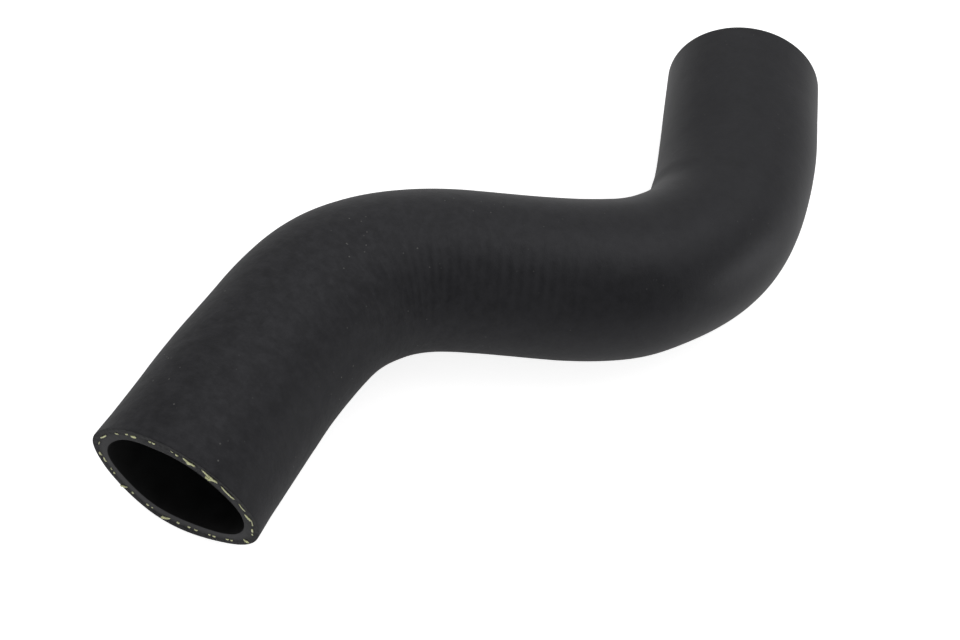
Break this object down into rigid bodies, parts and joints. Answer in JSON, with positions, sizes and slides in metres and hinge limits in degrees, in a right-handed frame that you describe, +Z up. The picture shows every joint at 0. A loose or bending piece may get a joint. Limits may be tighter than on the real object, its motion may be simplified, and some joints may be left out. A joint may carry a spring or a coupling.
{
  "type": "charge air hose",
  "caption": "Moulded rubber charge air hose with an S-bend, a textile ply showing at its cut ends and a slightly flared outlet.",
  "frame": {"origin": "on the surface the hose lies on, under the middle of its box", "axes": "+Y along the inlet leg, from the inlet cut into the hose; +X towards the side of the outlet, where the first bend turns; +Z up, square to the level plane of the S"},
  "size_m": [0.155, 0.248, 0.0552],
  "materials": {
    "hose_rubber": "satin charcoal rubber, faintly mottled",
    "reinforcement_yarn": "cut pale yellow yarn ends in the wall"
  },
  "bodies": {
    "root": {"hose": "hose_rubber"}
  },
  "joints": []
}
